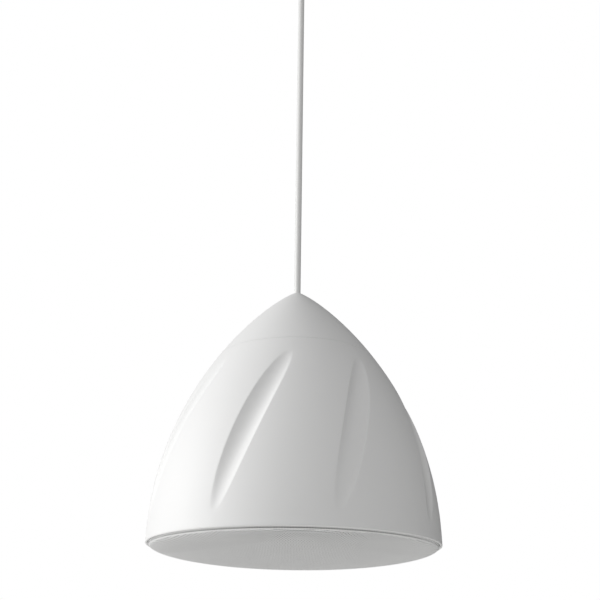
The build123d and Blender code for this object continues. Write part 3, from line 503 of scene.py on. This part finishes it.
inside_rings += [
    ring(foot, bell_radius(ledge_top, shell_wall), ledge_top),
    ring(foot, ledge_radius, ledge_top),
    ring(foot, ledge_radius, mouth_depth),
    ring(foot, mouth_radius, mouth_depth),
    ring(foot, mouth_radius, lip_bevel),
    ring(foot, mouth_radius + 0.35 * lip_bevel, 0.35 * lip_bevel),
    ring(foot, mouth_radius + lip_bevel, 0),
    ring(foot, rim_radius - lip_bevel, 0),
    ring(foot, rim_radius - 0.35 * lip_bevel, 0.35 * lip_bevel),
]


def circle_points(x, y, radius, count, first_turn=0.0):
    """Points round a circle."""
    turns = first_turn + np.arange(count) * 2 * np.pi / count
    return np.stack([x + radius * np.cos(turns), y + radius * np.sin(turns)], axis=1)


def pierced(outline, holes):
    """Triangles of a flat sheet inside an outline with holes cut out, and its points in order."""
    loops = [outline] + list(holes)
    flat = np.concatenate(loops)
    edges, owner, first = [], [], 0
    for number, loop in enumerate(loops):
        count = len(loop)
        edges += [(first + k, first + (k + 1) % count) for k in range(count)]
        owner += [number] * count
        first += count
    cut = delaunay_2d_cdt([Vector((float(x), float(y))) for x, y in flat], edges, [], 1, 1e-9, True)
    source = [min(origin) for origin in cut[3]]
    triangles = []
    for face in cut[2]:
        corners = [source[i] for i in face]
        rings = {owner[c] for c in corners}
        if len(rings) > 1 or rings == {0}:
            triangles.append(tuple(corners))
    return flat, triangles


def two_sided(triangles, loops, upper, lower):
    """Faces of a pierced plate: its two sides, and the walls of its holes."""
    faces = [tuple(upper[c] for c in t) for t in triangles]
    faces += [tuple(lower[c] for c in t)[::-1] for t in triangles]
    for loop in loops:
        for k, c in enumerate(loop):
            n = loop[(k + 1) % len(loop)]
            faces.append((upper[c], upper[n], lower[n], lower[c]))
    return faces


yoke_screw_place = 30 * mm
screw_hole = 2.05 * mm
deck_holes = [
    circle_points(yoke_screw_place, 0, screw_hole, 20), circle_points(-yoke_screw_place, 0, screw_hole, 20),
    circle_points(grommet_place.x, grommet_place.y, grommet_neck, 40),
]
shell_points, shell_faces = [], []
for rings in (outside_rings, inside_rings):
    start = sum(len(p) for p in shell_points)
    shell_points += rings
    for i in range(len(rings) - 1):
        for j in range(around_count):
            a, b = start + i * around_count, start + (i + 1) * around_count
            k = (j + 1) % around_count
            shell_faces.append((a + j, a + k, b + k, b + j))
last_outside = (len(outside_rings) - 1) * around_count
first_inside = len(outside_rings) * around_count
last_inside = (len(outside_rings) + len(inside_rings) - 1) * around_count
for j in range(around_count):
    k = (j + 1) % around_count
    shell_faces.append((last_inside + j, last_inside + k, k, j))
deck_flat, deck_triangles = pierced(outside_rings[-1][:, :2], deck_holes)
hole_flat = deck_flat[around_count:]
hole_start = last_inside + around_count
for height in (deck_top, deck_bottom):
    shell_points.append(np.column_stack([hole_flat, np.full(len(hole_flat), rim_z + height)]))
upper = [last_outside + i for i in range(around_count)] + [hole_start + i for i in range(len(hole_flat))]
lower = [first_inside + i for i in range(around_count)] + [
    hole_start + len(hole_flat) + i for i in range(len(hole_flat))]
hole_loops, at = [], around_count
for hole in deck_holes:
    hole_loops.append(list(range(at, at + len(hole))))
    at += len(hole)
shell_faces += two_sided(deck_triangles, hole_loops, upper, lower)
boss_outer, boss_inset, boss_height = 5 * mm, 9.5 * mm, 42 * mm
boss_circle = mouth_radius - boss_inset
boss_top = mouth_depth + boss_height
boss_bevel = 0.5 * mm
pin_hole = 0.01 * mm
boss_profile = [
    (pin_hole, boss_top - shell_wall), (screw_hole, boss_top - shell_wall), (screw_hole, mouth_depth),
    (boss_outer, mouth_depth), (boss_outer, boss_top - boss_bevel), (boss_outer - boss_bevel, boss_top),
    (pin_hole, boss_top),
]
boss_first_turn = 83.5
for quarter in range(4):
    turn = math.radians(boss_first_turn + 90 * quarter)
    start = sum(len(p) for p in shell_points)
    points, faces = turned(
        [(r, z + rim_z) for r, z in boss_profile],
        (boss_circle * math.cos(turn), boss_circle * math.sin(turn)), 28)
    shell_points.append(np.array(points))
    shell_faces += [tuple(start + i for i in face) for face in faces]
new_piece("body_shell_moulding", np.concatenate(shell_points), shell_faces, shell_white,
          "enclosure", "shell", "body_shell")

# The top cap: the crown of the bell, moulded with the same finish. It stands on the deck on
# its spigot and slides up the cable, so its foot leaves a hairline seam round the bell.
seam_gap = 0.1 * mm
crown_wall = 2.5 * mm
bore_play = 0.45 * mm
bore_radius = cable_radius + bore_play
tip_height = crown_top - rim_z
cap_foot = seam_height + seam_gap
spigot_play = 0.5 * mm
spigot_radius = collar_high - spigot_play
crown_side = cap_foot + (tip_height - cap_foot) * np.sin(np.linspace(0, np.pi / 2, 60))
crown_profile = [
    (bell_radius(cap_foot) - edge_break, cap_foot),
    (bell_radius(cap_foot) - edge_break / 3, cap_foot + edge_break),
]
crown_profile += [(bell_radius(h), h) for h in crown_side[1:-1]]
tip_radius = float(bell_radius(tip_height))
tip_rounding = ((0, 0.6 * mm), (0.25 * mm, 0.15 * mm), (0.7 * mm, 0))
tip_dip, tip_thickness = 0.3 * mm, 4.5 * mm
crown_profile += [(tip_radius - inward, tip_height - down) for inward, down in tip_rounding]
crown_profile += [(bore_radius, tip_height - tip_dip)]
inside_heights = np.linspace(cap_foot + crown_wall, tip_height - tip_thickness, 24)
crown_profile += [(max(float(bell_radius(h, crown_wall)), bore_radius), h) for h in inside_heights[::-1]]
crown_profile += [
    (spigot_radius - crown_wall, cap_foot + crown_wall), (spigot_radius - crown_wall, deck_top),
    (spigot_radius, deck_top), (spigot_radius, cap_foot),
]
crown_profile = [(float(r), float(h) + rim_z) for r, h in crown_profile]
new_piece("top_cap_moulding", *turned(crown_profile[::-1], steps=256), shell_white,
          "crown", "shell", "top_cap")

# The damping pad: a loose band of white polyester wadding laid round the inside of the bell,
# where its own spring holds it. Its faces are uneven.
pad_low, pad_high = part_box("damping_pad")
wadding = finish(
    "polyester_wadding", (0.78, 0.78, 0.76), (0.68, 0.68, 0.66),
    grain_size=1.2 * mm, drift_size=20 * mm, rough=(0.85, 0.95), bump=1.2 * mm, sheen=0.4,
)
pad_bottom, pad_top = pad_low.z - rim_z, pad_high.z - rim_z
pad_gap = 1.1 * mm
pad_inset = shell_wall + scoop_depth + pad_gap
pad_thickness = 12 * mm
pad_outer_slack, pad_inner_slack = 1.6 * mm, 1.2 * mm
pad_unevenness = 0.35 * mm
pad_rows = 14
pad_heights = [pad_bottom + (pad_top - pad_bottom) * i / pad_rows for i in range(pad_rows + 1)]
pad_profile = [(float(bell_radius(h, pad_inset)) - pad_outer_slack, h + rim_z) for h in pad_heights]
pad_profile += [
    (float(bell_radius(h, pad_inset)) - pad_thickness + pad_inner_slack, h + rim_z)
    for h in pad_heights[::-1]
]
pad_points, pad_faces = turned(pad_profile, steps=180)
loose = np.random.default_rng(7)
pad_points = np.array(pad_points) + loose.normal(0, pad_unevenness, (len(pad_points), 3))
pad = new_piece("damping_wadding", pad_points, pad_faces, wadding,
                "enclosure", "wadding", "damping_pad", sharp=180)

# The baffle: a black moulded panel that closes the shell, screwed up against its ledge over a
# foam ring. It carries the flared reflex tube and the nickel-plated magnets for the grille.
foam = finish(
    "closed_cell_foam", (0.03, 0.03, 0.031), (0.045, 0.045, 0.046),
    grain_size=0.4 * mm, drift_size=8 * mm, rough=(0.8, 0.95), bump=0.2 * mm,
)
black_steel = finish(
    "black_coated_steel", (0.03, 0.03, 0.032), (0.045, 0.045, 0.047),
    grain_size=0.3 * mm, drift_size=10 * mm, rough=(0.35, 0.5), bump=0.04 * mm,
)
nickel = finish(
    "nickel_plate", (0.66, 0.65, 0.62), (0.56, 0.55, 0.52),
    grain_size=0.2 * mm, drift_size=4 * mm, rough=(0.2, 0.32), bump=0.01 * mm, metallic=1.0,
)
dress(black_nylon, "baffle", "port_tube")
dress(black_steel, "baffle_screws")
dress(nickel, "grille_magnets")


foam_edge_share = 0.35


def foam_ring(name, node, inner):
    """A foam ring with soft edges, filling a flat node's box."""
    low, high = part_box(node)
    outer = high.x
    soft = (high.z - low.z) * foam_edge_share
    profile = [
        (inner, low.z + soft), (inner + soft, low.z), (outer - soft, low.z), (outer, low.z + soft),
        (outer, high.z - soft), (outer - soft, high.z), (inner + soft, high.z), (inner, high.z - soft),
    ]
    new_piece(name, *turned(profile, steps=192), foam, "enclosure", "foam", node)


foam_ring("baffle_foam_ring", "baffle_gasket", ledge_radius)

# The driver: a pressed black steel chassis screwed to the baffle over its own foam ring, with
# a zinc-plated motor round a ferrite ring, and a pulp cone that slides with its copper coil.
ferrite = finish(
    "ground_ferrite", (0.09, 0.09, 0.093), (0.12, 0.12, 0.123),
    grain_size=0.6 * mm, drift_size=10 * mm, rough=(0.45, 0.62), bump=0.06 * mm,
)
pulp = finish(
    "coated_pulp", (0.05, 0.05, 0.051), (0.075, 0.075, 0.075),
    grain_size=0.9 * mm, drift_size=12 * mm, rough=(0.62, 0.8), bump=0.18 * mm,
)
copper_wire = finish(
    "enamelled_wire", (0.5, 0.2, 0.07), (0.4, 0.15, 0.05),
    grain_size=0.3 * mm, drift_size=3 * mm, rough=(0.25, 0.4), bump=0.1 * mm, metallic=0.85,
)
cutout_radius = 72.5 * mm
foam_ring("driver_foam_ring", "driver_gasket", cutout_radius)
dress(black_steel, "driver_basket", "driver_screws")
dress(zinc_plate, "top_plate", "pole_plate")
dress(ferrite, "ferrite_ring")
dress(pulp, "cone")
dress(copper_wire, "voice_coil")

# The surround: a half-roll of black rubber glued to the chassis and round the cone's edge. It
# gives way as the cone slides.
gore_count = 12


def gored(name, profile, material, slot, node):
    """A soft ring that stretches from the chassis to the moving cone, bonded up from equal gores,
    each one a mesh piece of its own."""
    half = math.pi / gore_count
    steps = 8
    for gore in range(gore_count):
        middle = 2 * half * gore
        turns = [middle - half + 2 * half * i / steps for i in range(steps + 1)]
        points = [(r * math.cos(t), r * math.sin(t), z) for t in turns for r, z in profile]
        count = len(profile)
        faces = []
        for i in range(steps):
            for j in range(count):
                k = (j + 1) % count
                faces.append((i * count + j, (i + 1) * count + j, (i + 1) * count + k, i * count + k))
        faces.append(tuple(range(count)))
        faces.append(tuple(steps * count + j for j in range(count))[::-1])
        piece = new_piece(f"{name}_{gore + 1:02d}", points, faces, material, None, slot, node)
        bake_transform(piece)


flange_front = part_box("driver_basket")[0].z
roll_inner, roll_outer = 60 * mm, 70 * mm
roll_land_inner, roll_land_outer = 55 * mm, 76 * mm
roll_sheet = 0.8 * mm
roll_middle = (roll_inner + roll_outer) / 2
roll_radius = (roll_outer - roll_inner) / 2
roll_front = flange_front - roll_sheet
roll_turns = np.linspace(math.pi, 0, 15)
roll_profile = [(roll_land_inner, roll_front)]
roll_profile += [
    (roll_middle + roll_radius * math.cos(t), roll_front - roll_radius * math.sin(t)) for t in roll_turns
]
roll_profile += [(roll_land_outer, roll_front), (roll_land_outer, flange_front)]
roll_profile += [
    (roll_middle + (roll_radius - roll_sheet) * math.cos(t), flange_front - roll_radius * math.sin(t))
    for t in roll_turns[::-1]
]
roll_profile += [(roll_land_inner, flange_front)]
gored("surround_roll", roll_profile, black_rubber, "rubber", "surround")

# The spider: resin-stiffened cloth pressed into ripples, glued into the chassis and round the
# coil's former. It centres the coil in its gap and gives way as the cone slides.
stiff_cloth = finish(
    "resin_stiffened_cloth", (0.52, 0.38, 0.18), (0.42, 0.3, 0.14),
    grain_size=0.5 * mm, drift_size=10 * mm, rough=(0.7, 0.85), bump=0.2 * mm,
)
spider_low, spider_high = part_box("spider")
spider_inner, spider_outer = 13 * mm, spider_high.x
wave_low, wave_high, wave_count = 15 * mm, 45 * mm, 5
cloth_sheet = 0.6 * mm
wave_height = (spider_high.z - spider_low.z - cloth_sheet) / 2
wave_places = np.linspace(wave_low, wave_high, 49)
spider_mid = spider_high.z - cloth_sheet - wave_height
wave_z = [
    spider_mid + wave_height * math.cos(2 * math.pi * wave_count * (r - wave_low) / (wave_high - wave_low))
    for r in wave_places
]
spider_profile = [(spider_inner, wave_z[0])] + list(zip(wave_places, wave_z)) + [(spider_outer, wave_z[-1])]
spider_profile += [(r, z + cloth_sheet) for r, z in spider_profile[::-1]]
gored("spider_cloth", spider_profile, stiff_cloth, "spider", "spider")

# The tweeter: a dome of coated silk in a black cup on a turned aluminium post, with its own
# small magnet and a short horn ring. The post stands on the motor's pole.
coated_silk = finish(
    "coated_silk", (0.05, 0.05, 0.052), (0.07, 0.07, 0.072),
    grain_size=0.3 * mm, drift_size=4 * mm, rough=(0.4, 0.55), bump=0.08 * mm,
)
aluminium = finish(
    "turned_aluminium", (0.66, 0.67, 0.68), (0.58, 0.59, 0.6),
    grain_size=0.2 * mm, drift_size=4 * mm, rough=(0.25, 0.38), bump=0.02 * mm, metallic=1.0,
)
dress(aluminium, "tweeter_post")
dress(black_nylon, "tweeter_cup", "tweeter_guide")
dress(nickel, "tweeter_magnet")
silk_low, silk_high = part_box("tweeter_dome")
silk_radius = 10 * mm
silk_rim = silk_high.x
silk_sheet = 0.5 * mm
silk_collar = 1 * mm
silk_centre = 0.1 * mm
tweeter_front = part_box("tweeter_cup")[0].z
silk_rise = tweeter_front - silk_low.z
silk_turns = np.linspace(math.pi / 2, 0, 14)[1:]
silk_inner = silk_radius - silk_sheet
silk_profile = [(silk_centre, silk_low.z)]
silk_profile += [(silk_radius * math.cos(t), tweeter_front - silk_rise * math.sin(t)) for t in silk_turns]
silk_profile += [
    (silk_rim, tweeter_front), (silk_rim, tweeter_front + silk_collar),
    (silk_radius, tweeter_front + silk_collar), (silk_radius, silk_high.z),
    (silk_inner, silk_high.z), (silk_inner, tweeter_front + silk_collar),
]
silk_profile += [
    (silk_inner * math.cos(t), tweeter_front - (silk_rise - silk_sheet) * math.sin(t))
    for t in silk_turns[::-1]
]
silk_profile += [(silk_centre, silk_low.z + silk_sheet)]
new_piece("tweeter_silk_dome", *turned([(float(r), float(z)) for r, z in silk_profile], steps=64),
          coated_silk, "enclosure", "dome", "tweeter_dome")

# The tap selector: a black moulded rotary switch held in the baffle by a nickel-plated nut,
# with a push-on knob that is turned from the front once the grille is off.
dress(black_nylon, "tap_switch", "tap_knob")
dress(nickel, "switch_nut")

# The line transformer: stacked steel laminations round a taped copper winding, held to the
# baffle's back by a zinc-plated strap.
laminations = finish(
    "stacked_laminations", (0.24, 0.24, 0.25), (0.16, 0.15, 0.15),
    grain_size=0.5 * mm, drift_size=2 * mm, rough=(0.4, 0.6), bump=0.1 * mm, metallic=0.8,
)
winding_tape = finish(
    "winding_tape", (0.62, 0.5, 0.2), (0.5, 0.4, 0.16),
    grain_size=0.8 * mm, drift_size=10 * mm, rough=(0.35, 0.5), bump=0.08 * mm,
)
dress(laminations, "transformer_core")
dress(winding_tape, "transformer_winding")
dress(zinc_plate, "transformer_strap")

# The crossover: a lacquered board on four black pillars on the baffle's back, with a coil of
# enamelled wire, two film capacitors and a cement resistor soldered to it.
board_green = finish(
    "lacquered_board", (0.03, 0.14, 0.05), (0.02, 0.10, 0.035),
    grain_size=0.4 * mm, drift_size=4 * mm, rough=(0.25, 0.4), bump=0.05 * mm,
)
film_sleeve = finish(
    "film_sleeve", (0.03, 0.04, 0.16), (0.025, 0.03, 0.12),
    grain_size=0.6 * mm, drift_size=10 * mm, rough=(0.25, 0.36), bump=0.03 * mm,
)
cement = finish(
    "cement_body", (0.78, 0.76, 0.70), (0.68, 0.66, 0.6),
    grain_size=0.6 * mm, drift_size=5 * mm, rough=(0.75, 0.9), bump=0.2 * mm,
)
dress(black_nylon, "board_standoffs")
dress(board_green, "crossover_board")
dress(copper_wire, "crossover_coil")
dress(film_sleeve, "crossover_capacitors")
dress(cement, "crossover_resistor")

# The grille: a sheet of fine perforated steel, punched flat and pressed into a shallow dome
# right out to the shell's lip, then white powder coated. It is fixed to the ring behind it.
grille_play = 0.6 * mm
grille_radius = mouth_radius - grille_play
grille_drop = rim_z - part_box("grille")[0].z
grille_sheet = 1 * mm
hole_pitch = 3.05 * mm
hole_radius = 1.1 * mm
hole_sides = 4
hole_land = 0.1 * mm
edge_row = 1.25 * mm
edge_pitch = 0.87 * hole_pitch
edge_corners = 400
coated_white = finish(
    "white_powder_coat", (0.84, 0.84, 0.835), (0.80, 0.80, 0.795),
    grain_size=0.4 * mm, drift_size=50 * mm, rough=(0.42, 0.55), bump=0.04 * mm,
)
dome_turns = np.linspace(0, math.pi / 2, 4001)
dome_steps = np.hypot(
    np.diff(grille_radius * np.sin(dome_turns)), np.diff(-grille_drop * np.cos(dome_turns)))
dome_lengths = np.concatenate([[0], np.cumsum(dome_steps)])
blank_radius = dome_lengths[-1]


def on_dome(points, inset):
    """Presses flat points of the blank into the dome's outer face, or the face inset inside it."""
    reach = np.hypot(points[:, 0], points[:, 1])
    turn = np.interp(reach, dome_lengths, dome_turns)
    radius = (grille_radius - inset) * np.sin(turn)
    z = rim_z - (grille_drop - inset) * np.cos(turn)
    direction = points / np.maximum(reach, 1e-9)[:, None]
    return np.column_stack([direction * radius[:, None], z])


row_step = hole_pitch * math.sqrt(3) / 2
rows = int(blank_radius / row_step) + 1
lattice = [
    (hole_pitch * (i + 0.5 * (j % 2)), row_step * j)
    for j in range(-rows, rows + 1) for i in range(-rows - 1, rows + 1)
]
edge_reach = blank_radius - edge_row
edge_count = round(2 * math.pi * edge_reach / edge_pitch)
lattice_reach = edge_reach - 2 * hole_radius - hole_land
punches = [
    circle_points(x, y, hole_radius, hole_sides) for x, y in lattice if math.hypot(x, y) < lattice_reach
]
for turn in np.arange(edge_count) * 2 * math.pi / edge_count:
    x, y = edge_reach * math.cos(turn), edge_reach * math.sin(turn)
    punches.append(circle_points(x, y, hole_radius, hole_sides, turn))
blank, blank_triangles = pierced(circle_points(0, 0, blank_radius, edge_corners), punches)
blank_count = len(blank)
blank_loops = [
    list(range(first, first + hole_sides)) for first in range(edge_corners, blank_count, hole_sides)
]
blank_loops.append(list(range(edge_corners)))
outer, inner = list(range(blank_count)), list(range(blank_count, 2 * blank_count))
grille_faces = two_sided(blank_triangles, blank_loops, inner, outer)
new_piece("grille_perforated_dome", np.concatenate([on_dome(blank, 0), on_dome(blank, grille_sheet)]),
          grille_faces, coated_white, "enclosure", "grille", "grille", sharp=50)

# The grille ring: a pressed L-section ring that carries the dome inside the mouth, its inner
# leg lying against the magnets in the baffle.
ring_low, ring_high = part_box("grille_ring")
ring_leg = 10 * mm
ring_bend, ring_bend_middle = 0.8 * mm, 0.25 * mm
ring_wall = grille_radius - grille_sheet
ring_profile = [
    (ring_wall, ring_low.z), (grille_radius, ring_low.z), (grille_radius, ring_high.z - ring_bend),
    (grille_radius - ring_bend_middle, ring_high.z - ring_bend_middle),
    (grille_radius - ring_bend, ring_high.z),
    (grille_radius - ring_leg, ring_high.z), (grille_radius - ring_leg, ring_high.z - grille_sheet),
    (ring_wall, ring_high.z - grille_sheet),
]
new_piece("grille_carrier_ring", *turned(ring_profile, steps=256), coated_white,
          "enclosure", "grille", "grille_ring")

# The studio: a plain pale floor well below and a white room round the speaker. A broad soft
# light stands at the left, a weak card in front at the right and a soft lamp lights the
# grille from below, as the photograph's shading shows. The floor glows to the camera alone.
room_floor = finish(
    "pale_studio_floor", (0.86, 0.86, 0.85), (0.84, 0.84, 0.83),
    grain_size=10 * mm, drift_size=1000 * mm, rough=(0.6, 0.7), bump=0.1 * mm,
)
floor_glow = 0.42
floor_nodes = room_floor.node_tree
floor_shader = floor_nodes.nodes["Principled BSDF"]
floor_shader.inputs["Emission Strength"].default_value = floor_glow
looked_at = floor_nodes.nodes.new("ShaderNodeLightPath")
floor_nodes.links.new(looked_at.outputs["Is Camera Ray"], floor_shader.inputs["Emission Color"])
floor_z, floor_reach = -2.4, 6
floor_sides = ((-1, -1), (1, -1), (1, 1), (-1, 1))
floor_corners = [(x * floor_reach, y * floor_reach, floor_z) for x, y in floor_sides]
floor_mesh = bpy.data.meshes.new("studio_floor")
floor_mesh.from_pydata(floor_corners, [], [(0, 1, 2, 3)])
floor_mesh.materials.append(room_floor)
floor_piece = bpy.data.objects.new("studio_floor", floor_mesh)
bpy.context.collection.objects.link(floor_piece)


def soft_light(name, place, aim, size, power):
    """A square lamp of this size, aimed at a point."""
    lamp = bpy.data.lights.new(name, "AREA")
    lamp.shape = "SQUARE"
    lamp.size = size
    lamp.energy = power
    holder = bpy.data.objects.new(name, lamp)
    holder.location = place
    holder.rotation_euler = (Vector(aim) - Vector(place)).to_track_quat("-Z", "Y").to_euler()
    bpy.context.collection.objects.link(holder)


speaker_middle = (0, 0, rim_z + 0.12)
soft_light("window_left", (-2.1, -0.28, rim_z + 0.55), speaker_middle, 1.3, 35.5)
soft_light("card_right", (0.8, -1.65, rim_z - 0.4), speaker_middle, 0.7, 2.5)
soft_light("floor_bounce", (-0.35, 0.25, rim_z - 1.2), speaker_middle, 0.9, 4.7)
room_front, room_back = 0.5, 0.04
world = bpy.data.worlds.new("white_room")
bpy.context.scene.world = world
world.use_nodes = True
room = world.node_tree
room_light = room.nodes["Background"]
room_light.inputs["Color"].default_value = (1, 1, 1, 1)
direction = room.nodes.new("ShaderNodeTexCoord")
away = room.nodes.new("ShaderNodeVectorMath")
away.operation = "DOT_PRODUCT"
away.inputs[1].default_value = (0.4, 0.87, -0.28)
falling_off = room.nodes.new("ShaderNodeMapRange")
falling_off.inputs["From Min"].default_value = -0.1
falling_off.inputs["From Max"].default_value = 0.4
falling_off.inputs["To Min"].default_value = room_front
falling_off.inputs["To Max"].default_value = room_back
room.links.new(direction.outputs["Generated"], away.inputs[0])
room.links.new(away.outputs["Value"], falling_off.inputs["Value"])
room.links.new(falling_off.outputs["Result"], room_light.inputs["Strength"])
backdrop = room.nodes.new("ShaderNodeBackground")
backdrop.inputs["Color"].default_value = (1, 1, 1, 1)
seen = room.nodes.new("ShaderNodeLightPath")
choice = room.nodes.new("ShaderNodeMixShader")
room.links.new(seen.outputs["Is Camera Ray"], choice.inputs["Fac"])
room.links.new(room_light.outputs["Background"], choice.inputs[1])
room.links.new(backdrop.outputs["Background"], choice.inputs[2])
room.links.new(choice.outputs["Shader"], room.nodes["World Output"].inputs["Surface"])
bpy.context.scene.view_settings.view_transform = "Standard"
bpy.context.scene.view_settings.look = "None"
